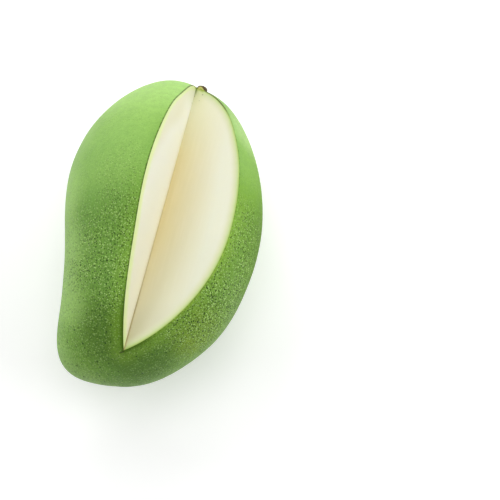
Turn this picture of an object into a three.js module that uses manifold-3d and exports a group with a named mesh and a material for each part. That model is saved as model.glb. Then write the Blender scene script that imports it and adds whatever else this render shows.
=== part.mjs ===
// A green mango lying on its flatter cheek, with one long wedge of flesh cut out of the cheek that faces up.
// Millimetres and degrees. +Z is up, through the thickness of the fruit. +Y runs towards the stem end, and
// the flat stone inside lies level, in the XY plane. The beak is low on the -X side.
// Two pieces: the fruit itself, and the stub of woody stalk left in the scar at its stem end.
import * as THREE from 'three';
import { mergeVertices } from 'three/addons/utils/BufferGeometryUtils.js';
import Module from 'manifold-3d';

// Plain egg form that the fruit grows from, and how far its long axis leans from +Y towards +X
const HALF_LENGTH = 71.2;
const HALF_WIDTH = 44.5;
const HALF_THICKNESS = 39.5;
const LEAN = 13.2;

// Swellings and hollows of the egg form. "turn" and "rise" give the direction from the centre (see direction),
// "reach" is how far round the fruit it spreads, and "height" is how many mm it lifts the skin.
const SWELLINGS = [
  { turn: -130.6, rise: 0, reach: 11, height: 8 },       // beak
  { turn: -171.2, rise: 0, reach: 29.4, height: -4.3 },  // sinus, the hollow between beak and shoulder
  { turn: 114.6, rise: 0, reach: 28, height: 10.9 },     // shoulder beside the stem end
  { turn: 78.6, rise: 0, reach: 17.1, height: 4.9 },     // stem end
  { turn: -90.6, rise: 0, reach: 25, height: -11.7 },    // blunt lower end
  { turn: -30, rise: 0, reach: 27.3, height: -2.9 },     // flatter edge on the right
  { turn: 88.7, rise: 50.9, reach: 21.1, height: 5.3 },  // upper cheek, full near the stem end
  { turn: -12.8, rise: 48.6, reach: 28, height: 2.5 },   // upper cheek, full in the middle
  { turn: 76.5, rise: 14.2, reach: 6, height: -3.3 },    // hollow above the stalk
  { turn: 63.7, rise: 14.5, reach: 12.3, height: -1.5 }, // slope on the right of that hollow
  { turn: 150, rise: -60, reach: 30, height: 1.5 },      // lower cheek, full under the shoulder
  { turn: -90, rise: -80, reach: 42, height: -3 },       // lower cheek, flatter where the fruit lies
];

// Stem end: a shallow hollow with the stub of the stalk standing in the middle, square to the skin
const SCAR = { turn: 76.7, rise: 0.4 };
const SCAR_RADIUS = 10;
const SCAR_DEPTH = 1;
const STUB_LEAN = { turn: 72, rise: 0 };
const STUB_RADIUS = 2.5;
const STUB_STANDS_OUT = 1.8;
const STUB_DOME = 1.6;
const STUB_SUNK = 1.8;
const GAP = 0.3;

// The wedge: two straight knife cuts that meet in one straight inner edge, which runs from the stem end down
// to the cheek above the beak. Each cut is turned about that edge from straight up, + towards +X.
const EDGE_TOP = { turn: 78.5, rise: 1.3 };
const EDGE_BOTTOM = { turn: -105.4, rise: 26.4 };
const LEFT_CUT = -12.9;
const RIGHT_CUT = 62.4;
const KNIFE_OVERRUN = 30;
const KNIFE_REACH = 150;

// Depth of the small flat spot that the fruit lies on
const FLAT_DEPTH = 0.9;

// Fineness of the skin: rings from the stem end to the lower end, points round each ring, and how much
// closer together the rings lie at the stem end (1 is even)
const RINGS = 58;
const POINTS_ROUND = 80;
const STEM_END_CLOSENESS = 1.25;
const STUB_SIDES = 24;
const DOME_STEPS = 4;
const SOCKET_TOP = 10;

const { degToRad: radians } = THREE.MathUtils;
const UP = new THREE.Vector3(0, 0, 1);
const ALONG = new THREE.Vector3(0, 1, 0);

// Unit direction "turn" degrees from +X towards +Y, lifted "rise" degrees towards +Z
function direction({ turn, rise }) {
  const level = Math.cos(radians(rise));
  return new THREE.Vector3(
    level * Math.cos(radians(turn)), level * Math.sin(radians(turn)), Math.sin(radians(rise)));
}

const swellings = SWELLINGS.map(({ turn, rise, reach, height }) => (
  { way: direction({ turn, rise }), reach: radians(reach), height }));
const scarWay = direction(SCAR);
const stubWay = direction(STUB_LEAN);

// Distance from the centre of the fruit to the skin in a unit direction, before the scar is pressed in
function smoothSkin(way) {
  const lean = radians(LEAN);
  const across = (way.x * Math.cos(lean) - way.y * Math.sin(lean)) / HALF_WIDTH;
  const along = (way.x * Math.sin(lean) + way.y * Math.cos(lean)) / HALF_LENGTH;
  const egg = 1 / Math.hypot(across, along, way.z / HALF_THICKNESS);
  return swellings.reduce(
    (sum, swelling) => sum + swelling.height * Math.exp((way.dot(swelling.way) - 1) / swelling.reach ** 2), egg);
}

function skinDistance(way) {
  const smooth = smoothSkin(way);
  const fromScar = smooth * way.angleTo(scarWay);
  return smooth - SCAR_DEPTH * Math.exp(-((fromScar / SCAR_RADIUS) ** 2));
}

function skinPoint(angles) {
  const way = direction(angles);
  return way.multiplyScalar(skinDistance(way));
}

// The whole fruit: a ball whose poles are the stem end and the lower end, with each point moved to the skin
function skinGeometry() {
  const ball = new THREE.SphereGeometry(1, POINTS_ROUND, RINGS);
  const stand = new THREE.Quaternion().setFromUnitVectors(ALONG, scarWay);
  const points = ball.getAttribute('position');
  const point = new THREE.Vector3();
  const polar = new THREE.Spherical();
  for (let i = 0; i < points.count; i += 1) {
    polar.setFromVector3(point.fromBufferAttribute(points, i));
    polar.phi = Math.PI * (polar.phi / Math.PI) ** STEM_END_CLOSENESS;
    point.setFromSpherical(polar).applyQuaternion(stand);
    point.multiplyScalar(skinDistance(point));
    points.setXYZ(i, point.x, point.y, point.z);
  }
  return ball;
}

// The space that the knife takes out: a long prism whose sharp edge is the inner edge of the wedge
function wedgeGeometry() {
  const start = skinPoint(EDGE_TOP);
  const inward = skinPoint(EDGE_BOTTOM).sub(start);
  const length = inward.length() + 2 * KNIFE_OVERRUN;
  inward.normalize();
  const upward = UP.clone().addScaledVector(inward, -UP.dot(inward)).normalize();
  const sideways = new THREE.Vector3().crossVectors(upward, inward);
  const farEdges = [LEFT_CUT, RIGHT_CUT].map((turn) => new THREE.Vector2(
    KNIFE_REACH * Math.sin(radians(turn)), KNIFE_REACH * Math.cos(radians(turn))));
  const outline = new THREE.Shape([new THREE.Vector2(0, 0), ...farEdges]);
  const prism = new THREE.ExtrudeGeometry(outline, { depth: length, bevelEnabled: false });
  const stand = new THREE.Matrix4().makeBasis(sideways, upward, inward);
  stand.setPosition(start.addScaledVector(inward, -KNIFE_OVERRUN));
  return prism.applyMatrix4(stand);
}

// Moves a shape that stands on its own Y axis to the scar, so that its y = 0 lies at the skin
function setInScar(geometry) {
  const foot = skinPoint(SCAR);
  geometry.applyQuaternion(new THREE.Quaternion().setFromUnitVectors(ALONG, stubWay));
  return geometry.translate(foot.x, foot.y, foot.z);
}

// The stub of stalk: a short round peg with a low domed top
function stubGeometry() {
  const dome = new THREE.EllipseCurve(
    0, STUB_STANDS_OUT - STUB_DOME, STUB_RADIUS, STUB_DOME, 0, Math.PI / 2).getPoints(DOME_STEPS);
  dome[dome.length - 1].x = 0;
  const profile = [new THREE.Vector2(0, -STUB_SUNK), new THREE.Vector2(STUB_RADIUS, -STUB_SUNK), ...dome];
  return setInScar(new THREE.LatheGeometry(profile, STUB_SIDES));
}

// The hole in the flesh that the stub sits in, open to the outside
function socketGeometry() {
  const bottom = -STUB_SUNK - GAP;
  const hole = new THREE.CylinderGeometry(
    STUB_RADIUS + GAP, STUB_RADIUS + GAP, SOCKET_TOP - bottom, STUB_SIDES);
  return setInScar(hole.translate(0, (SOCKET_TOP + bottom) / 2, 0));
}

const manifold = await Module();
manifold.setup();

function solidFrom(geometry) {
  geometry.deleteAttribute('normal');
  geometry.deleteAttribute('uv');
  const merged = mergeVertices(geometry, 1e-5);
  return new manifold.Manifold(new manifold.Mesh({
    numProp: 3,
    vertProperties: new Float32Array(merged.getAttribute('position').array),
    triVerts: new Uint32Array(merged.index.array),
  }));
}

function meshFrom(name, solid, material) {
  const { vertProperties, triVerts } = solid.getMesh();
  const geometry = new THREE.BufferGeometry();
  geometry.setAttribute('position', new THREE.BufferAttribute(vertProperties, 3));
  geometry.setIndex(new THREE.BufferAttribute(triVerts, 1));
  geometry.computeVertexNormals();
  const mesh = new THREE.Mesh(geometry, material);
  mesh.name = name;
  return mesh;
}

const wedge = solidFrom(wedgeGeometry());
const wholeFruit = solidFrom(skinGeometry());
const stub = solidFrom(stubGeometry());
const socket = solidFrom(socketGeometry());

// Everything below this height is taken off, which leaves the flat spot
const tableHeight = wholeFruit.boundingBox().min[2] + FLAT_DEPTH;
const below = new THREE.BoxGeometry(4 * HALF_LENGTH, 4 * HALF_LENGTH, HALF_THICKNESS);
const table = solidFrom(below.translate(0, 0, tableHeight - HALF_THICKNESS / 2));

const mango = meshFrom('mango', wholeFruit.subtract(wedge).subtract(table).subtract(socket),
  new THREE.MeshStandardMaterial({ color: 0x6fa043, roughness: 0.5, metalness: 0 }));
const stemStub = meshFrom('stem_stub', stub.subtract(wedge),
  new THREE.MeshStandardMaterial({ color: 0x8a7a45, roughness: 0.8, metalness: 0 }));

// The fruit lies on z = 0, with the middle of its outline over the origin
const part = new THREE.Group();
part.add(mango, stemStub);
mango.geometry.computeBoundingBox();
const middle = mango.geometry.boundingBox.getCenter(new THREE.Vector3());
part.position.set(-middle.x, -middle.y, -tableHeight);

export default part;
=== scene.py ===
import math

import bmesh
import bpy
import numpy as np
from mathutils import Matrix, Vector


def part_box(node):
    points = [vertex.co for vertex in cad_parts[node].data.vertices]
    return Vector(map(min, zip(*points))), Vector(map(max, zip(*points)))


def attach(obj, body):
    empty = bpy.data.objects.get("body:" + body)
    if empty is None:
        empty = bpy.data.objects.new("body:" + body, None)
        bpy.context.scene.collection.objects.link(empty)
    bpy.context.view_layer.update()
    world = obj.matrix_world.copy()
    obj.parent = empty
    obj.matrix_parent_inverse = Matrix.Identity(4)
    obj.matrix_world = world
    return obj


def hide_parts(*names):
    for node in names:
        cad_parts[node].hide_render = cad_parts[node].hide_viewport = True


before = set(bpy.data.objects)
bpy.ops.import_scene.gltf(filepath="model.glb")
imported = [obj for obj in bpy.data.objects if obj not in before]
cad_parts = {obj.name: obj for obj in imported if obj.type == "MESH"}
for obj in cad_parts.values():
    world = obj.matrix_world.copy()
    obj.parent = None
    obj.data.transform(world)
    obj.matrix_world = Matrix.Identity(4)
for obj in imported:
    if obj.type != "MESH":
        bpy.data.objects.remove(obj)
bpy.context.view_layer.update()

# A green mango lying on its flatter cheek, with one long wedge cut out of the cheek that faces up, and the
# stub of its stalk in the scar at the stem end. The shape is worked out in millimetres in the fruit's own
# frame, with the origin at the middle of its egg form, and is put in place in metres at the end.
# "Left" and "right" are as seen from above, with the stem end pointing away.

MILLIMETRE = 0.001

# ---------------------------------------------------------------- the form of the fruit, in mm and degrees

HALF_LENGTH = 71.2
HALF_WIDTH = 44.5
HALF_THICKNESS = 39.5
LEAN = 13.2

# turn and rise of the middle of each swelling, how far round it spreads, and how high it lifts the skin
SWELLINGS = {
    "beak": (-130.6, 0, 11, 8),
    "sinus": (-171.2, 0, 29.4, -4.3),
    "shoulder": (114.6, 0, 28, 10.9),
    "stem end": (78.6, 0, 17.1, 4.9),
    "blunt lower end": (-90.6, 0, 25, -11.7),
    "flatter edge": (-30, 0, 27.3, -2.9),
    "upper cheek near the stem end": (88.7, 50.9, 21.1, 5.3),
    "middle of the upper cheek": (-12.8, 48.6, 28, 2.5),
    "hollow above the stalk": (76.5, 14.2, 6, -3.3),
    "slope on the right of that hollow": (63.7, 14.5, 12.3, -1.5),
    "lower cheek under the shoulder": (150, -60, 30, 1.5),
    "lower cheek where the fruit lies": (-90, -80, 42, -3),
}
FLAT_DEPTH = 0.9

SCAR = (76.7, 0.4)
SCAR_RADIUS = 10
SCAR_DEPTH = 1.0
STUB_LEAN = (72, 0)
STUB_RADIUS = 2.5
STUB_STANDS_OUT = 1.8
STUB_DOME = 1.6
STUB_SUNK = 1.8
STUB_BARK = 0.6

EDGE_TOP = (78.5, 1.3)
EDGE_BOTTOM = (-105.4, 26.4)
LEFT_CUT = -12.9
RIGHT_CUT = 62.4

# How far the skin of this model lies under that of the solid, so that its relief stays inside it
INSET = 0.1

# Halvings of a ray inside the fruit until its end lies on the skin
HALVINGS = 34


def direction(turn, rise):
    turn, rise = math.radians(turn), math.radians(rise)
    level = math.cos(rise)
    return np.array([level * math.cos(turn), level * math.sin(turn), math.sin(rise)])


def unit(vector):
    return vector / np.linalg.norm(vector)


def unit_rows(vectors):
    return vectors / np.maximum(np.linalg.norm(vectors, axis=-1, keepdims=True), 1e-9)


SCAR_WAY = direction(*SCAR)
STUB_WAY = direction(*STUB_LEAN)


def skin_distance(ways):
    lean = math.radians(LEAN)
    across = (ways[..., 0] * math.cos(lean) - ways[..., 1] * math.sin(lean)) / HALF_WIDTH
    along = (ways[..., 0] * math.sin(lean) + ways[..., 1] * math.cos(lean)) / HALF_LENGTH
    distance = 1 / np.sqrt(across**2 + along**2 + (ways[..., 2] / HALF_THICKNESS) ** 2)
    for turn, rise, reach, height in SWELLINGS.values():
        nearness = (ways @ direction(turn, rise) - 1) / math.radians(reach) ** 2
        distance = distance + height * np.exp(nearness)
    from_scar = distance * np.arccos(np.clip(ways @ SCAR_WAY, -1, 1))
    return distance - SCAR_DEPTH * np.exp(-((from_scar / SCAR_RADIUS) ** 2))


def skin_point(turn, rise):
    way = direction(turn, rise)
    return way * skin_distance(way)


SCAR_MIDDLE = skin_point(*SCAR)


def depth_in_fruit(points):
    far = np.linalg.norm(points, axis=-1)
    return skin_distance(points / far[..., None]) - far


def reach_skin(start, ways):
    """Points where rays from a place inside the fruit come out through its skin"""
    near = np.zeros(ways.shape[:-1])
    far = np.full(ways.shape[:-1], 2.0 * HALF_LENGTH)
    for _ in range(HALVINGS):
        middle = (near + far) / 2
        inside = depth_in_fruit(start + ways * middle[..., None]) > 0
        near = np.where(inside, middle, near)
        far = np.where(inside, far, middle)
    return start + ways * near[..., None]


# ---------------------------------------------------------------- the wedge

# The inner edge, where the two cuts meet, runs between two points of the skin
EDGE_TOP_POINT = skin_point(*EDGE_TOP)
EDGE_BOTTOM_POINT = skin_point(*EDGE_BOTTOM)
EDGE_MIDDLE = (EDGE_TOP_POINT + EDGE_BOTTOM_POINT) / 2
TO_STEM = unit(EDGE_TOP_POINT - EDGE_BOTTOM_POINT)
UPWARD = unit(np.array([0, 0, 1]) - TO_STEM * TO_STEM[2])
SIDEWAYS = np.cross(TO_STEM, UPWARD)


def cut_direction(turn):
    """Way from the inner edge towards the skin, in the face of the cut with this turn"""
    return math.sin(math.radians(turn)) * SIDEWAYS + math.cos(math.radians(turn)) * UPWARD


# Square to the right-hand cut, pointing up out of the flesh
right_square = np.cross(cut_direction(RIGHT_CUT), TO_STEM)
OFF_RIGHT_CUT = right_square * np.sign(right_square[2])

# ---------------------------------------------------------------- low relief

# Depth of the broad swells and small dimples of the skin
SWELL_DEPTH = 0.16
DIMPLE_DEPTH = 0.05

# Depth of the wrinkles round the stub, and the radius and width of the ring that they fill
WRINKLE_DEPTH = 0.32
WRINKLE_RING = 4.6
WRINKLE_RING_WIDTH = 2.2

# Height of the waves that the knife left in the cut faces, and how far from their edges the waves are full
BROAD_WAVE = 0.22
FINE_WAVE = 0.05
WAVES_OFF_EDGE = 6
WAVES_OFF_SKIN = 4

# Depth of the ribs round the stub
RIB_DEPTH = 0.18


def waves(points, seed, shortest, longest, count):
    """Smooth bumps and hollows between -1 and 1, of the given wavelengths in mm, the same on every run"""
    dice = np.random.default_rng(seed)
    total = np.zeros(points.shape[:-1])
    for _ in range(count):
        length = dice.uniform(shortest, longest)
        total += np.sin(points @ (unit(dice.normal(size=3)) * math.tau / length) + dice.uniform(0, math.tau))
    return total / count


def shares(heights, strength):
    """Wave heights turned into shares from 0 to 1, flat where they would pass either end"""
    return 0.5 + 0.5 * np.clip(strength * heights, -1, 1)


def skin_relief(points):
    """How deep the unevenness of the skin lies under the smooth form, in mm"""
    swell = shares(waves(points, seed=4, shortest=14, longest=34, count=24), 2.2)
    dimple = shares(waves(points, seed=9, shortest=4, longest=8, count=30), 2.2)
    off_stub = points - SCAR_MIDDLE
    flat = off_stub - (off_stub @ SCAR_WAY)[..., None] * SCAR_WAY
    far = np.linalg.norm(flat, axis=-1)
    ring = np.exp(-(((far - WRINKLE_RING) / WRINKLE_RING_WIDTH) ** 2))
    spokes = unit_rows(flat) * 6 + far[..., None] * 0.2
    wrinkles = shares(waves(spokes, seed=2, shortest=1.6, longest=4, count=16), 2.4)
    return SWELL_DEPTH * swell + DIMPLE_DEPTH * dimple + WRINKLE_DEPTH * ring * wrinkles


# ---------------------------------------------------------------- the mesh of the fruit

# Rows of points from the stem end to the lower end, points in a row, and steps from the inner edge of the
# wedge to the skin. Where a closeness is over 1 they lie closer together: at the stem end, beside the cuts
# and just under the skin.
ROWS = 250
COLUMNS = 250
CUT_STEPS = 42
STEM_END_CLOSENESS = 1.3
CUT_CLOSENESS = 1.7
SKIN_CLOSENESS = 1.9

# Distance from the rim that skin has right beside an end of the inner edge, where all its columns meet
BESIDE_END = 0.05

# For each cut: the column of the skin that it starts from, its turn, whether its grid of points already faces
# outward, and the seeds of its two sets of waves
CUTS = [
    (0, RIGHT_CUT, False, (31, 57)),
    (COLUMNS, LEFT_CUT, True, (281, 307)),
]
SKIN_KIND = 0
FLESH_KIND = 1

# The finishes read four measures at each point, in mm. "rim" is the distance over the skin from the nearer
# cut, "depth" is how deep the flesh lies under the skin, "off_edge" is its distance from the inner edge, and
# "to_stem" is its place along that edge, counted from the middle towards the stem end.


def spread(count, closeness):
    """Numbers from 0 to 1 that lie closer together near both ends"""
    even = np.linspace(-1, 1, count + 1)
    return 0.5 + 0.5 * np.sign(even) * (1 - (1 - np.abs(even)) ** closeness)


def rows_to_faces(first, columns, outward):
    """Four-sided faces of a grid of points that is stored row by row, turned round unless it faces outward"""
    corner = first + np.arange(ROWS)[:, None] * columns + np.arange(columns - 1)
    ring = [corner, corner + 1, corner + columns + 1, corner + columns]
    return np.stack(ring if outward else ring[::-1], -1).reshape(-1, 4)


def skin_grid():
    """Points of the skin, in rows round the fruit from the right-hand cut to the left-hand one"""
    slant = math.pi * np.linspace(0, 1, ROWS + 1) ** STEM_END_CLOSENESS
    turns = np.radians(RIGHT_CUT + (360 + LEFT_CUT - RIGHT_CUT) * spread(COLUMNS, CUT_CLOSENESS))
    round_ways = np.sin(turns)[:, None] * SIDEWAYS + np.cos(turns)[:, None] * UPWARD
    ways = np.cos(slant)[:, None, None] * TO_STEM + np.sin(slant)[:, None, None] * round_ways
    skin = reach_skin(EDGE_MIDDLE, ways)
    far = np.linalg.norm(skin, axis=-1, keepdims=True)
    return skin * (1 - (INSET + skin_relief(skin))[..., None] / far)


def distance_from_rim(skin):
    """Distance over the skin from the nearer cut, in mm"""
    steps = np.linalg.norm(np.diff(skin, axis=1), axis=-1)
    run = np.concatenate([np.zeros((ROWS + 1, 1)), np.cumsum(steps, axis=1)], axis=1)
    rim = np.minimum(run, run[:, -1:] - run)
    for end in (EDGE_TOP_POINT, EDGE_BOTTOM_POINT):
        rim = np.minimum(rim, np.linalg.norm(skin - end, axis=-1) + BESIDE_END)
    rim[:, 0] = rim[:, -1] = 0
    return rim


def cut_face(rim_points, turn, seeds):
    """Points of one cut face, in rows from the inner edge to the skin, and the measures at each point"""
    inward = 1 - (1 - np.linspace(0, 1, CUT_STEPS + 1)) ** SKIN_CLOSENESS
    flat = inward[None, :, None] * (rim_points - EDGE_MIDDLE)[:, None, :]
    off_edge = flat @ cut_direction(turn)
    depth = np.maximum(depth_in_fruit(EDGE_MIDDLE + flat) - depth_in_fruit(rim_points)[:, None], 0)
    full = np.clip(off_edge / WAVES_OFF_EDGE, 0, 1) * np.clip(depth / WAVES_OFF_SKIN, 0, 1)
    broad = BROAD_WAVE * waves(flat, seeds[0], shortest=16, longest=40, count=10)
    fine = FINE_WAVE * waves(flat, seeds[1], shortest=3, longest=7, count=16)
    height = full * (broad + fine)
    points = EDGE_MIDDLE + flat + height[..., None] * np.cross(cut_direction(turn), TO_STEM)
    return points, {"rim": 0 * depth, "depth": depth, "off_edge": off_edge, "to_stem": flat @ TO_STEM}


def fruit_mesh():
    """The fruit's points, faces and kinds of face, the measures at each point, and its flat spot's height"""
    skin = skin_grid()
    spot = skin[..., 2].min() + FLAT_DEPTH - INSET
    skin[..., 2] = np.maximum(skin[..., 2], spot)
    rim = distance_from_rim(skin)

    grids = [skin]
    faces = [rows_to_faces(0, COLUMNS + 1, True)]
    kinds = [np.full(len(faces[0]), SKIN_KIND)]
    measures = [{"rim": rim, "depth": 0 * rim, "off_edge": 0 * rim, "to_stem": 0 * rim}]
    for column, turn, outward, seeds in CUTS:
        face, measured = cut_face(skin[:, column], turn, seeds)
        first = sum(grid[..., 0].size for grid in grids)
        grids.append(face)
        faces.append(rows_to_faces(first, CUT_STEPS + 1, outward))
        kinds.append(np.full(len(faces[-1]), FLESH_KIND))
        measures.append(measured)
    return (
        np.concatenate([grid.reshape(-1, 3) for grid in grids]),
        np.concatenate(faces),
        np.concatenate(kinds),
        {name: np.concatenate([part[name].ravel() for part in measures]) for name in measures[0]},
        spot,
    )


fruit_points, fruit_faces, fruit_kinds, fruit_measures, spot_height = fruit_mesh()

# The fruit lies on the floor, with the middle of its outline where the solid has it
node_low, node_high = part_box("mango")
own_middle = (fruit_points.min(0) + fruit_points.max(0)) / 2
PLACE = np.array([
    (node_low[0] + node_high[0]) / 2 - own_middle[0] * MILLIMETRE,
    (node_low[1] + node_high[1]) / 2 - own_middle[1] * MILLIMETRE,
    node_low[2] - spot_height * MILLIMETRE,
])


def in_place(points):
    """Points of the fruit's own frame, in metres in the scene"""
    return points * MILLIMETRE + PLACE


# The same places in millimetres in the scene, for the finishes
EDGE_MIDDLE_IN_SCENE = in_place(EDGE_MIDDLE) / MILLIMETRE
SCAR_IN_SCENE = in_place(SCAR_MIDDLE) / MILLIMETRE


def add_piece(name, mesh, materials, node):
    piece = bpy.data.objects.new(name, mesh)
    bpy.context.scene.collection.objects.link(piece)
    for material in materials:
        mesh.materials.append(material)
    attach(piece, "root")
    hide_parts(node)


# ---------------------------------------------------------------- finishes

# Colours as red, green and blue from 0 to 255
TONES = {
    # the skin, and the greens of its soft patches
    "skin ground": (112, 160, 62),
    "skin ground, lighter": (122, 168, 62),
    "skin ground on the right": (126, 172, 46),
    "palest": (194, 228, 150),
    "mint, partly painted light": (172, 216, 118),
    "fresh": (157, 203, 106),
    "yellowish": (152, 176, 0),
    "deep": (88, 136, 52),
    "olive, painted shade": (82, 119, 0),
    "darkest, painted shade": (63, 101, 5),
    "mottle": (98, 148, 54),
    # its pores
    "grain, dark": (74, 122, 34),
    "grain, pale": (156, 202, 88),
    "pore top, partly painted highlight": (190, 228, 130),
    "pore hollow, partly painted shade": (46, 78, 0),
    "lone pore": (44, 78, 8),
    # the skin beside the cuts
    "beside the cuts": (148, 192, 56),
    "lower left": (74, 114, 0),
    "lower left, close by": (74, 112, 0),
    "lower right, close by": (160, 202, 66),
    "knife line": (64, 96, 0),
    "knife slip": (58, 66, 10),
    # the scar of the stalk
    "scar beside the cuts": (74, 58, 18),
    "scar border": (150, 158, 84),
    "scar hollow": (62, 50, 26),
    "scar ridge": (128, 106, 58),
    # the flesh
    "lit left cream near the stem end": (247, 248, 236),
    "lit left cream at the lower end": (246, 243, 221),
    "shaded right cream near the stem end": (228, 228, 208),
    "shaded right cream at the lower end": (221, 223, 203),
    "tan between strands": (224, 208, 154),
    "tan strand": (227, 211, 159),
    "tan at the lower end": (221, 214, 180),
    "tan near the stem end": (226, 222, 176),
    "pale strand": (250, 246, 232),
    "flesh grain": (214, 204, 160),
    "warm cream": (230, 226, 182),
    "lower tip": (196, 194, 168),
    "green flesh": (200, 206, 140),
    "flesh speck": (120, 124, 84),
    # the cut skin, the inner edge and the foot of the stalk
    "cut skin": (88, 112, 30),
    "cut skin at the stem end": (74, 84, 22),
    "seam": (180, 164, 110),
    "seam and painted crease shade at the stem end": (100, 122, 20),
    "stalk foot, dark": (132, 158, 30),
    "stalk foot, pale": (182, 196, 76),
    # the rind, from just under the skin inward
    "rind, green": (164, 190, 96),
    "rind, light green": (180, 204, 118),
    "rind, pale green": (199, 212, 152),
    "rind, greenish cream": (213, 217, 177),
    "rind, cream": (224, 223, 198),
    "left rind": (238, 255, 186),
    # the stalk
    "stalk wood, green": (164, 172, 66),
    "stalk wood, tan": (206, 196, 120),
    "stalk knot": (176, 190, 76),
    "stalk bark, dark": (52, 40, 18),
    "stalk bark, pale": (104, 84, 40),
}


def tint(tone):
    """One of the colours above, as the shader takes it"""
    levels = [value / 255 for value in TONES[tone]]
    return tuple(v / 12.92 if v <= 0.04045 else ((v + 0.055) / 1.055) ** 2.4 for v in levels) + (1.0,)


class Signal:
    """An output of a finish's nodes. Sums with it add their Math nodes."""

    def __init__(self, finish, socket):
        self.finish = finish
        self.socket = socket

    def worked(self, operation, *values):
        return self.finish.add("ShaderNodeMath", {"operation": operation}, dict(enumerate(values)))

    def __add__(self, other):
        return self.worked("ADD", self, other)

    __radd__ = __add__

    def __sub__(self, other):
        return self.worked("SUBTRACT", self, other)

    def __rsub__(self, other):
        return self.worked("SUBTRACT", other, self)

    def __mul__(self, other):
        return self.worked("MULTIPLY", self, other)

    __rmul__ = __mul__

    def __truediv__(self, other):
        return self.worked("DIVIDE", self, other)

    def __pow__(self, other):
        return self.worked("POWER", self, other)


class Finish:
    """A material that is built up node by node, with its places and lengths in mm"""

    def __init__(self, name):
        self.material = bpy.data.materials.new(name)
        self.material.use_nodes = True
        self.nodes = self.material.node_tree.nodes
        self.links = self.material.node_tree.links
        self.shader = next(node for node in self.nodes if node.type == "BSDF_PRINCIPLED")
        where = self.add("ShaderNodeTexCoord", {}, {}, "Object")
        sockets = {0: where, "Scale": 1 / MILLIMETRE}
        self.place = self.add("ShaderNodeVectorMath", {"operation": "SCALE"}, sockets)

    def add(self, kind, settings, sockets, output=0):
        node = self.nodes.new(kind)
        for name, value in settings.items():
            if name == "stops":
                self.set_stops(node.color_ramp, value)
            else:
                setattr(node, name, value)
        for name, value in sockets.items():
            self.feed(node.inputs[name], value)
        return Signal(self, node.outputs[output])

    def feed(self, socket, value):
        if isinstance(value, Signal):
            self.links.new(value.socket, socket)
        else:
            socket.default_value = value

    def set_stops(self, ramp, stops):
        while len(ramp.elements) < len(stops):
            ramp.elements.new(0.5)
        for element, (position, color) in zip(ramp.elements, stops):
            element.position = position
            element.color = color

    def coat(self, **sockets):
        """Feeds sockets of the shader itself"""
        for name, value in sockets.items():
            self.feed(self.shader.inputs[name.replace("_", " ")], value)

    def rough_up(self, height, distance, strength=1.0):
        sockets = {"Height": height, "Distance": distance * MILLIMETRE, "Strength": strength}
        self.coat(Normal=self.add("ShaderNodeBump", {}, sockets))

    def measure(self, name):
        """One of the measures that the mesh holds at its points"""
        return self.add("ShaderNodeAttribute", {"attribute_name": name}, {}, "Fac")

    def coordinate(self, axis):
        return self.add("ShaderNodeSeparateXYZ", {}, {0: self.place}, axis)

    def rise(self, value, low, high, start=0.0, end=1.0):
        """Goes smoothly from start to end while the value goes from low to high"""
        sockets = {"Value": value, "From Min": low, "From Max": high, "To Min": start, "To Max": end}
        return self.add("ShaderNodeMapRange", {"interpolation_type": "SMOOTHSTEP"}, sockets)

    def blend(self, share, first, second):
        return self.add("ShaderNodeMix", {"data_type": "RGBA"}, {0: share, 6: first, 7: second}, 2)

    def cloud(self, size, detail=2.0, roughness=0.5, place=None, shift=0.0):
        """Soft noise between about 0.25 and 0.75, with patches of the given size"""
        sockets = {"Vector": place or self.place, "Scale": 1 / size, "Detail": detail, "Roughness": roughness}
        if shift:
            sockets["W"] = shift
        return self.add("ShaderNodeTexNoise", {"noise_dimensions": "4D" if shift else "3D"}, sockets, "Fac")

    def spots(self, spacing, shift=0.0):
        """Distance from the nearest of many scattered points, in spacings"""
        sockets = {0: self.place, 1: (shift, shift, shift)}
        moved = self.add("ShaderNodeVectorMath", {"operation": "ADD"}, sockets)
        sockets = {"Vector": moved, "Scale": 1 / spacing}
        return self.add("ShaderNodeTexVoronoi", {"feature": "F1"}, sockets, "Distance")

    def away_from(self, point):
        return self.add("ShaderNodeVectorMath", {"operation": "SUBTRACT"}, {0: self.place, 1: tuple(point)})

    def length(self, vector):
        return self.add("ShaderNodeVectorMath", {"operation": "LENGTH"}, {0: vector}, "Value")

    def reading(self, vector, way):
        """How far a vector goes in one way"""
        sockets = {0: vector, 1: tuple(way)}
        return self.add("ShaderNodeVectorMath", {"operation": "DOT_PRODUCT"}, sockets, "Value")

    def patch(self, middle, reach, core):
        """1 in the core of a round patch and 0 beyond its reach, with the core as a share of the reach"""
        return self.rise(self.length(self.away_from(middle)), reach, reach * core)

    def stroke(self, start, end, width):
        """1 on a short line between two places, and 0 beside it"""
        start, end = np.array(start), np.array(end)
        half = np.linalg.norm(end - start) / 2
        off = self.away_from((start + end) / 2)
        far = self.length(off)
        run = self.reading(off, unit(end - start))
        across = (far * far - run * run) * (1 / width**2)
        return self.rise(across + run * run * (1 / half**2), 1.0, 0.4)

    def right_of_wedge(self):
        """1 on the right of the plane that halves the wedge, and 0 on the left of it"""
        halving = np.cross(TO_STEM, unit(cut_direction(RIGHT_CUT) + cut_direction(LEFT_CUT)))
        return self.rise(self.reading(self.away_from(EDGE_MIDDLE_IN_SCENE), halving), -0.05, 0.05)

    def off_scar(self):
        """Distance from the middle of the stalk's scar, with an uneven edge"""
        return self.length(self.away_from(SCAR_IN_SCENE)) + (self.cloud(2.4, 3.0) - 0.5) * 2.2
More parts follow.
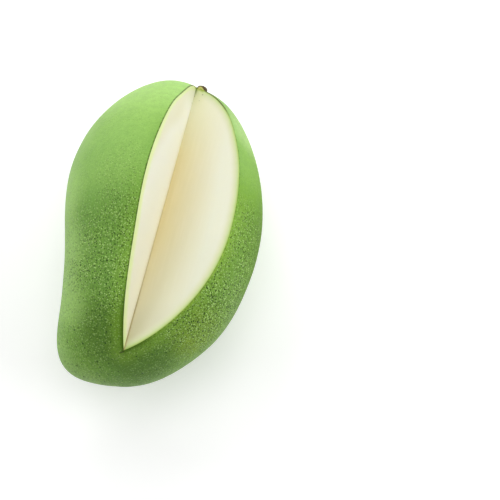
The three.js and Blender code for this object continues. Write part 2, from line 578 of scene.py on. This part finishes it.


# Where the green of the skin changes: the middle of each soft patch in mm, how far it reaches, how strong it
# is in its middle, and its green. Some patches are painted light or painted shade, as marked.
SKIN_PATCHES = [
    # painted light: the stem end is lighter, partly its pale bloom and partly painted light falling from
    # above
    ((-4, 66, 52), 48, 0.9, "mint, partly painted light"),  # over the stem end
    ((-20, 26, 72), 30, 0.6, "fresh"),  # shoulder
    ((36, 32, 55), 26, 0.5, "fresh"),  # upper right
    ((36, 43, 43), 18, 0.65, "palest"),  # right of the stem end
    ((-16, -14, 72), 34, 0.5, "deep"),  # left of the wedge
    # painted shade: darker above the beak, as shade towards the lower end
    ((-20, -49, 63), 22, 0.85, "darkest, painted shade"),  # above the beak
    # painted light: the mint on the left flank, at the tip of the beak and at the edge of the shoulder stands
    # in for light thrown up from the floor
    ((-41, 14, 52), 21, 0.7, "mint, partly painted light"),  # left flank, in three patches
    ((-40, -14, 54), 22, 0.75, "mint, partly painted light"),
    ((-39, -33, 53), 20, 0.8, "mint, partly painted light"),
    ((-43, -57, 42), 17, 0.65, "mint, partly painted light"),  # tip of the beak, in two patches
    ((-33, -68, 40), 15, 0.6, "mint, partly painted light"),
    ((-36, 36, 54), 16, 0.4, "mint, partly painted light"),  # edge of the shoulder
    # painted shade and painted reflection: the right flank is darker, standing in for a dark fruit beside it
    ((49, -9, 40), 28, 0.75, "olive, painted shade"),  # right flank, in two patches
    ((38, -32, 46), 16, 0.4, "olive, painted shade"),
    ((17, -49, 57), 20, 0.6, "yellowish"),  # lower right
    # painted shade: darker under the wedge, as shade towards the lower end
    ((-4, -60, 55), 21, 0.75, "darkest, painted shade"),  # under the wedge
]

# Where the pores stand thick: the middle of each patch in mm, how far it reaches, and how much it adds
PORE_PATCHES = [
    ((-17, -18, 74), 34, 0.46),
    ((-12, 14, 76), 20, 0.25),
    ((24, -38, 62), 32, 0.76),
    ((38, -10, 60), 24, 0.55),
    ((-34, -14, 60), 20, 0.22),
]
PORE_SPACING = 1.0
HOLLOW_SPACING = 1.12
LONE_PORE_SPACING = 3.6

# Where the knife's point slipped a little way past the lower end of the wedge, in mm
KNIFE_SLIP = ((-15.8, -57.6, 59.1), (-12.5, -56.6, 60.5))
KNIFE_SLIP_WIDTH = 0.45


def skin_finish():
    finish = Finish("mango_skin")
    across = finish.coordinate("X")
    along = finish.coordinate("Y")
    rim = finish.measure("rim")
    right = finish.right_of_wedge()
    cloudy = finish.rise(finish.cloud(24.0, 3.0), 0.36, 0.64)
    mottle = finish.rise(finish.cloud(3.0, 4.0, 0.6), 0.3, 0.7)

    green = finish.blend(cloudy, tint("skin ground"), tint("skin ground, lighter"))
    green = finish.blend(finish.rise(across, 8.0, 34.0) * 0.5, green, tint("skin ground on the right"))
    for middle, reach, share, tone in SKIN_PATCHES:
        green = finish.blend(finish.patch(middle, reach, 0.25) * share, green, tint(tone))
    green = finish.blend(mottle * 0.25, green, tint("mottle"))

    # along its lower half the wedge has a lighter border, which turns deep green at the lower left
    beside_cuts = finish.rise(rim, 10.0, 1.0) * finish.rise(along, 24.0, -20.0)
    green = finish.blend(beside_cuts * 0.5, green, tint("beside the cuts"))
    lower_left = finish.rise(along, -26.0, -46.0) * finish.rise(across, 4.0, -8.0, 0.1, 0.85)
    green = finish.blend(finish.rise(rim, 4.5, 1.0) * lower_left * 0.6, green, tint("lower left"))

    # pores: small raised specks, pale on top with dark hollows between, thickest on both sides of the wedge.
    # The pale tops are partly painted highlight and the dark hollows partly painted shade.
    crowd = finish.rise(along, 36.0, -36.0, 0.11, 0.52)
    for middle, reach, share in PORE_PATCHES:
        crowd = crowd + finish.patch(middle, reach, 0.35) * share
    crowd = crowd * finish.rise(finish.cloud(13.0, 2.0, shift=3.0), 0.3, 0.54, 0.6, 1.1)
    crowd = crowd * finish.rise(rim, 0.3, 2.0, 0.6, 1.0)
    grain = finish.rise(finish.cloud(0.48, 2.0, 0.6), 0.38, 0.62)
    pale = finish.rise(finish.spots(PORE_SPACING), 0.42, 0.15)
    dark = finish.rise(finish.spots(HOLLOW_SPACING, 7.3), 0.41, 0.14)
    grain_green = finish.blend(grain, tint("grain, dark"), tint("grain, pale"))
    green = finish.blend(crowd * 0.4, green, grain_green)
    green = finish.blend(pale * crowd * 0.78, green, tint("pore top, partly painted highlight"))
    green = finish.blend(dark * crowd * 0.87, green, tint("pore hollow, partly painted shade"))

    # lone larger dark pores, in the lower half only
    lone = finish.rise(finish.spots(LONE_PORE_SPACING, 2.9), 0.15, 0.07) * finish.rise(along, 20.0, -20.0)
    green = finish.blend(lone * 0.9, green, tint("lone pore"))

    # close to the cuts the skin is deep green at the lower left, and light and nicked at the lower right
    nicks = finish.rise(finish.cloud(1.1, 3.0, 0.6), 0.42, 0.6)
    green = finish.blend(finish.rise(rim, 1.8, 0.5) * lower_left, green, tint("lower left, close by"))
    lower_right = finish.rise(along, 10.0, -30.0) * finish.rise(along, -56.0, -40.0) * right
    lit = finish.rise(rim, 1.5, 0.1) * lower_right * (1.0 - nicks * 0.5)
    green = finish.blend(lit * 0.8, green, tint("lower right, close by"))

    # a thin dark line follows the rim. On the right it is whole near the stem end, and nicks below it.
    whole = finish.rise(along, 46.0, 56.0) * right + (1.0 - right)
    knife_line = finish.rise(rim, 0.8, 0.25) * (whole * 0.5 + nicks * 0.45)
    green = finish.blend(knife_line, green, tint("knife line"))
    green = finish.blend(finish.stroke(*KNIFE_SLIP, KNIFE_SLIP_WIDTH) * 0.8, green, tint("knife slip"))

    # scar round the stalk: brown and wrinkled, with a paler border, and brown a little further along the cuts
    off_scar = finish.off_scar()
    scar_rim = finish.rise(off_scar, 11.0, 7.0) * finish.rise(rim, 1.1, 0.4)
    green = finish.blend(scar_rim, green, tint("scar beside the cuts"))
    bark = finish.blend(finish.cloud(0.7, 4.0, 0.7), tint("scar hollow"), tint("scar ridge"))
    green = finish.blend(finish.rise(off_scar, 6.4, 5.2) * 0.5, green, tint("scar border"))
    green = finish.blend(finish.rise(off_scar, 5.2, 4.2), green, bark)

    duller = finish.rise(across, 30.0, 42.0) * 0.3
    finish.coat(Base_Color=green, Roughness=finish.rise(mottle, 0.0, 1.0, 0.58, 0.46) + duller, IOR=1.4)
    finish.coat(Specular_IOR_Level=0.3, Sheen_Weight=0.03, Sheen_Roughness=0.45)
    pores = (pale * 0.9 - dark * 0.9 + grain * 0.5) * finish.rise(crowd, 0.0, 1.0, 0.25, 1.0)
    finish.rough_up(mottle * 0.2 + pores, 0.22)
    return finish.material


# Colours of the cut flesh by its depth under the skin, which is 0 here at the skin and 1 at RIND_DEPTH
RIND_DEPTH = 5.0
RIND = [
    (0.0, "rind, green"),
    (0.09, "rind, light green"),
    (0.2, "rind, pale green"),
    (0.4, "rind, greenish cream"),
    (1.0, "rind, cream"),
]

# Small dark specks in the cut flesh near the stem end: place and radius in mm
FLESH_SPECKS = [
    ((17.7, 62.2, 41.5), 0.5),
    ((16.2, 59.3, 41.6), 0.34),
    ((14.0, 62.1, 39.7), 0.34),
    ((13.0, 58.4, 40.7), 0.4),
]


def flesh_finish():
    finish = Finish("mango_flesh")
    depth = finish.measure("depth")
    off_edge = finish.measure("off_edge")
    to_stem = finish.measure("to_stem")
    right = finish.right_of_wedge()
    left = 1.0 - right

    strand_place = {0: off_edge * 0.7, 1: to_stem * 0.05, 2: right * 9.0}
    strands = finish.cloud(1.0, 4.0, 0.6, place=finish.add("ShaderNodeCombineXYZ", {}, strand_place))
    fine = finish.cloud(0.8, 4.0, 0.6)
    lower = finish.rise(to_stem, 24.0, -60.0)
    upper = finish.rise(to_stem, 16.0, 60.0)

    # painted light and painted shade: the left-hand cut is painted lighter and the right-hand one darker, and
    # greyer towards its lower end, though both are the same cream flesh
    lit_left_cream = finish.blend(
        lower, tint("lit left cream near the stem end"), tint("lit left cream at the lower end"))
    shaded_right_cream = finish.blend(
        lower, tint("shaded right cream near the stem end"), tint("shaded right cream at the lower end"))
    color = finish.blend(right, lit_left_cream, shaded_right_cream)

    # the right-hand cut is tan towards the inner edge, where it passes close to the stone
    tan = finish.blend(finish.rise(strands, 0.3, 0.7), tint("tan between strands"), tint("tan strand"))
    tan = finish.blend(finish.rise(to_stem, 0.0, -52.0), tan, tint("tan at the lower end"))
    tan = finish.blend(upper, tan, tint("tan near the stem end"))
    tan_width = finish.rise(to_stem, 0.0, 30.0, 26.0, 23.0)
    tanned = finish.add("ShaderNodeMapRange", {}, {"Value": off_edge, "From Min": tan_width, "From Max": 1.0})
    color = finish.blend(tanned * right * finish.rise(to_stem, 60.0, 24.0, 0.6, 1.0), color, tan)
    color = finish.blend(finish.rise(strands, 0.5, 0.75) * 0.05, color, tint("pale strand"))
    color = finish.blend(finish.rise(fine, 0.5, 0.72) * 0.06, color, tint("flesh grain"))

    # the left-hand cut is warmer in a band under the skin that broadens towards the stem end, and right
    # beside the inner edge
    under_band = depth - (to_stem - 5.0) * 0.25
    band = finish.rise(under_band, 9.0, -2.0) * finish.rise(to_stem, -6.0, 24.0)
    warm = band * finish.rise(off_edge, 0.0, 16.0)
    warm = warm + finish.rise(off_edge, 3.0, 0.8) * finish.rise(to_stem, 50.0, 40.0) * 0.6
    color = finish.blend(warm * left * 0.5, color, tint("warm cream"))

    # the right-hand cut is a little darker at its lower tip: painted shade
    shaded_lower_tip = finish.rise(to_stem, -38.0, -54.0) * right
    color = finish.blend(shaded_lower_tip * 0.3, color, tint("lower tip"))

    # flesh turns green towards the skin, in a thinner layer on the left-hand cut near the stem end
    wander = (finish.cloud(3.0, 3.0) - 0.5) * 0.9
    thinness = left * finish.rise(to_stem, 20.0, 52.0, -0.2, 0.9) + 1.0
    thinness = thinness + finish.rise(to_stem, 10.0, -30.0) * right * 0.1
    under_skin = (depth + wander * finish.rise(depth, 0.0, 1.5)) * thinness / RIND_DEPTH
    stops = [(place, tint(tone)) for place, tone in RIND]
    rind = finish.add("ShaderNodeValToRGB", {"stops": stops}, {0: under_skin})
    rind = finish.blend(left * 0.8, rind, tint("left rind"))
    color = finish.blend(finish.rise(under_skin, 1.0, 0.35), color, rind)

    # the flesh is greener at the stem end, all over the left-hand cut and beside the inner edge of the other
    greener = finish.rise(to_stem, 50.0, 62.0) * left
    greener = greener + finish.rise(to_stem, 52.0, 62.0) * finish.rise(off_edge, 8.0, 2.0) * right
    color = finish.blend(greener * 0.4, color, tint("green flesh"))

    # the skin shows as a dark line. On the right it is faint, but broad and darker near the stem end.
    fainter = right * finish.rise(to_stem, 56.0, 46.0) * 0.6
    color = finish.blend(finish.rise(depth, 0.3, 0.12) * (1.0 - fainter), color, tint("cut skin"))
    broad_line = finish.rise(depth, 0.75, 0.3) * finish.rise(to_stem, 46.0, 56.0) * right
    color = finish.blend(broad_line * 0.75, color, tint("cut skin at the stem end"))

    # the thin seam where the two cuts meet, brown in its lower half and dark green at the stem end, where the
    # dark green is partly painted shade in the crease
    seam = finish.rise(off_edge + (fine - 0.5) * 0.3, 0.8, 0.15)
    brown = finish.rise(to_stem, 40.0, -30.0, 0.0, 0.35) + finish.rise(to_stem, -24.0, -50.0, 0.0, 0.4)
    color = finish.blend(seam * brown, color, tint("seam"))
    stem_end_seam_and_crease_shade = finish.rise(off_edge, 1.2, 0.3) * finish.rise(to_stem, 58.0, 64.0)
    color = finish.blend(stem_end_seam_and_crease_shade * 0.8, color, tint("seam and painted crease shade at the stem end"))

    # strong green at the foot of the stalk
    foot = finish.blend(finish.cloud(0.7, 4.0, 0.7), tint("stalk foot, dark"), tint("stalk foot, pale"))
    at_foot = finish.rise(finish.off_scar(), 5.0, 4.0) * finish.rise(depth, 1.6, 0.5)
    color = finish.blend(at_foot * finish.rise(off_edge, 0.4, 1.0) * 0.8, color, foot)
    for place, radius in FLESH_SPECKS:
        color = finish.blend(finish.patch(place, radius, 0.4) * 0.7, color, tint("flesh speck"))

    finish.coat(Base_Color=color, Roughness=finish.rise(strands, 0.3, 0.7, 0.36, 0.5), IOR=1.38)
    finish.coat(Subsurface_Weight=0.12, Subsurface_Radius=(1.0, 0.8, 0.4), Subsurface_Scale=0.003)
    finish.rough_up(strands * 0.4 + fine * 0.5, 0.06, 0.6)
    return finish.material


# How far the middle of the wood on the sliced stub lies aside of the middle of the scar and under it, in mm
CORE_ASIDE = 0.45
CORE_SUNK = 1.0


def stalk_finish():
    finish = Finish("stalk_wood")
    off_foot = finish.away_from(SCAR_IN_SCENE)
    up_way = unit(STUB_WAY - OFF_RIGHT_CUT * (STUB_WAY @ OFF_RIGHT_CUT))
    up = finish.reading(off_foot, up_way)
    out = finish.reading(off_foot, np.cross(OFF_RIGHT_CUT, up_way))
    behind_cut = finish.reading(finish.away_from(EDGE_MIDDLE_IN_SCENE), -OFF_RIGHT_CUT)
    grain = finish.cloud(0.35, 4.0, 0.7)
    knots = finish.cloud(0.9, 3.0, 0.6, shift=2.0)
    wood = finish.blend(finish.rise(grain, 0.35, 0.65), tint("stalk wood, green"), tint("stalk wood, tan"))
    wood = finish.blend(finish.rise(knots, 0.5, 0.6) * 0.6, wood, tint("stalk knot"))
    bark = finish.blend(finish.rise(grain, 0.3, 0.7), tint("stalk bark, dark"), tint("stalk bark, pale"))

    # the wood shows in a rounded core, on the sliced face and just behind it, with bark round it
    core_radius = STUB_RADIUS - 1.5 * STUB_BARK
    core_height = STUB_STANDS_OUT - STUB_BARK
    from_core = (out + CORE_ASIDE) ** 2.0 * (1 / core_radius**2)
    from_core = from_core + (up + CORE_SUNK) ** 2.0 * (1 / core_height**2)
    outer = 1.0 - finish.rise(from_core, 1.1, 0.8) * finish.rise(behind_cut, 2.4, 1.8)
    finish.coat(Base_Color=finish.blend(outer, wood, bark))
    finish.coat(Roughness=finish.rise(grain, 0.2, 0.8, 0.62, 0.85))
    finish.rough_up(grain + knots, 0.2, 0.9)
    return finish.material


# ---------------------------------------------------------------- the pieces

# Points closer together than this, in mm, become one where the skin and the two cuts meet
WELD_DISTANCE = 0.002

# Edges that bend more than this stay sharp
FLESH_CREASE = math.radians(30)
STUB_CREASE = math.radians(40)

STUB_SIDES = 72
STUB_SIDE_RINGS = 16
STUB_DOME_RINGS = 25

# How far the sliced face of the stub lies above the right-hand cut, so that the two are apart
STUB_OFF_CUT = 0.06


def make_fruit():
    mesh = bpy.data.meshes.new("mango_fruit")
    mesh.from_pydata(in_place(fruit_points).tolist(), [], fruit_faces.tolist())
    for name, values in fruit_measures.items():
        mesh.attributes.new(name, "FLOAT", "POINT").data.foreach_set("value", values)
    mesh.polygons.foreach_set("material_index", fruit_kinds)
    joined = bmesh.new()
    joined.from_mesh(mesh)
    bmesh.ops.remove_doubles(joined, verts=joined.verts, dist=WELD_DISTANCE * MILLIMETRE)
    bmesh.ops.recalc_face_normals(joined, faces=joined.faces)
    for face in joined.faces:
        face.smooth = True
    for edge in joined.edges:
        kinds = {face.material_index for face in edge.link_faces}
        sharp = len(kinds) == 2 or (kinds == {FLESH_KIND} and edge.calc_face_angle(0) > FLESH_CREASE)
        edge.smooth = not sharp
    joined.to_mesh(mesh)
    joined.free()
    add_piece("mango_fruit", mesh, [skin_finish(), flesh_finish()], "mango")


def stub_rings():
    """Rings of points of the whole peg from its foot to its top, with ribs round its side"""
    dome_foot = STUB_STANDS_OUT - STUB_DOME
    bend = np.linspace(0, math.pi / 2, STUB_DOME_RINGS + 1)[1:]
    side = np.linspace(-STUB_SUNK, dome_foot, STUB_SIDE_RINGS)
    heights = np.concatenate([side, dome_foot + STUB_DOME * np.sin(bend)])
    radii = np.concatenate([np.full(STUB_SIDE_RINGS, STUB_RADIUS), STUB_RADIUS * np.cos(bend)])
    across = unit(np.cross(STUB_WAY, [0, 0, 1]))
    other = np.cross(STUB_WAY, across)
    turns = np.linspace(0, math.tau, STUB_SIDES, endpoint=False)
    rounds = np.cos(turns)[:, None] * across + np.sin(turns)[:, None] * other
    peg = heights[:, None, None] * STUB_WAY + radii[:, None, None] * rounds
    ribs = RIB_DEPTH * shares(waves(peg, seed=12, shortest=0.8, longest=2.2, count=20), 2)
    return SCAR_MIDDLE + peg - unit_rows(peg + STUB_WAY * STUB_SUNK) * ribs[..., None]


def make_stub():
    """A short woody peg with a low domed top, ribbed round its side and sliced by the right-hand cut"""
    points = in_place(stub_rings())
    peg = bmesh.new()
    rings = [[peg.verts.new(point) for point in ring] for ring in points[:-1]]
    top = peg.verts.new(points[-1, 0])
    for lower, upper in zip(rings, rings[1:]):
        for i in range(STUB_SIDES):
            j = (i + 1) % STUB_SIDES
            peg.faces.new((lower[i], lower[j], upper[j], upper[i]))
    for i in range(STUB_SIDES):
        peg.faces.new((rings[-1][i], rings[-1][(i + 1) % STUB_SIDES], top))
    peg.faces.new(rings[0][::-1])

    everything = [*peg.verts, *peg.edges, *peg.faces]
    knife = in_place(EDGE_MIDDLE + OFF_RIGHT_CUT * STUB_OFF_CUT)
    sliced = bmesh.ops.bisect_plane(
        peg, geom=everything, plane_co=knife, plane_no=OFF_RIGHT_CUT, clear_outer=True)
    rim = [part for part in sliced["geom_cut"] if isinstance(part, bmesh.types.BMEdge)]
    bmesh.ops.triangle_fill(peg, edges=rim, use_beauty=True)
    bmesh.ops.recalc_face_normals(peg, faces=peg.faces)
    for face in peg.faces:
        face.smooth = True
    for edge in peg.edges:
        edge.smooth = edge.calc_face_angle(0) < STUB_CREASE
    mesh = bpy.data.meshes.new("stalk_stub")
    peg.to_mesh(mesh)
    peg.free()
    add_piece("stalk_stub", mesh, [stalk_finish()], "stem_stub")


make_fruit()
make_stub()

# ---------------------------------------------------------------- floor, light and camera

# Lengths are in metres here, apart from those of the floor's glow. It rises between two distances, in mm.
FLOOR_HALF = 8.0
FLOOR_GREYS = ((0.86, 0.86, 0.86, 1), (0.89, 0.89, 0.89, 1))
FLOOR_GLOWS = ((0.3, 0.3, 0.3, 1), (0.75, 0.75, 0.75, 1))
GLOW_RISE = (500.0, 1500.0)

FRUIT_HEART = Vector((0, 0, 0.04))
SOFTBOX_DISTANCE = 1.15
SOFTBOX_SIZE = 0.8
# where each softbox stands: degrees from +X towards +Y, degrees above the floor, and watts
SOFTBOXES = {
    "key_softbox": (120, 35, 3.6),
    "stem_end_softbox": (90, 35, 2.2),
    "stem_end_right_softbox": (60, 35, 2.8),
    "right_softbox": (0, 35, 5.6),
    "left_softbox": (180, 35, 3.0),
    "overhead_softbox": (90, 85, 3.2),
}
STUDIO_BRIGHTNESS = 0.15

CAMERA_HEIGHT = math.radians(78)
CAMERA_DISTANCE = 0.5234
CAMERA_TARGET = Vector((0.0392, -0.0087, 0.037))
CAMERA_LENS = 85


def make_floor():
    """A wide pale floor that glows a little, more so far off, where the softboxes hardly reach it"""
    mesh = bpy.data.meshes.new("floor")
    grid = bmesh.new()
    bmesh.ops.create_grid(grid, x_segments=8, y_segments=8, size=FLOOR_HALF)
    grid.to_mesh(mesh)
    grid.free()
    floor = bpy.data.objects.new("floor", mesh)
    bpy.context.scene.collection.objects.link(floor)
    finish = Finish("pale_floor")
    cloudy = finish.rise(finish.cloud(60.0, 2.0), 0.2, 0.8)
    finish.coat(Base_Color=finish.blend(cloudy, *FLOOR_GREYS), Roughness=0.85)
    glow = finish.blend(finish.rise(finish.length(finish.place), *GLOW_RISE), *FLOOR_GLOWS)
    finish.coat(Specular_IOR_Level=0.1, Emission_Color=glow, Emission_Strength=1.0)
    mesh.materials.append(finish.material)


def add_softbox(name, turn, height, watts):
    lamp = bpy.data.lights.new(name, "AREA")
    lamp.shape = "DISK"
    lamp.size = SOFTBOX_SIZE
    lamp.energy = watts
    away = Vector(direction(turn, height))
    softbox = bpy.data.objects.new(name, lamp)
    softbox.location = FRUIT_HEART + away * SOFTBOX_DISTANCE
    softbox.rotation_euler = (-away).to_track_quat("-Z", "Y").to_euler()
    bpy.context.scene.collection.objects.link(softbox)


def set_up_studio():
    """White surroundings of even, low brightness"""
    world = bpy.data.worlds.new("pale_studio")
    world.use_nodes = True
    background = world.node_tree.nodes["Background"]
    background.inputs["Color"].default_value = (1, 1, 1, 1)
    background.inputs["Strength"].default_value = STUDIO_BRIGHTNESS
    bpy.context.scene.world = world
    bpy.context.scene.view_settings.view_transform = "Standard"


def set_up_camera():
    """A camera that looks down steeply on the fruit, from the side of its lower end"""
    lens = bpy.data.cameras.new("camera")
    lens.lens = CAMERA_LENS
    lens.sensor_width = 36
    camera = bpy.data.objects.new("camera", lens)
    away = Vector((0, -math.cos(CAMERA_HEIGHT), math.sin(CAMERA_HEIGHT)))
    camera.location = CAMERA_TARGET + away * CAMERA_DISTANCE
    camera.rotation_euler = (math.pi / 2 - CAMERA_HEIGHT, 0, 0)
    bpy.context.scene.collection.objects.link(camera)
    bpy.context.scene.camera = camera


make_floor()
for softbox_name, (turn, height, watts) in SOFTBOXES.items():
    add_softbox(softbox_name, turn, height, watts)
set_up_studio()
set_up_camera()
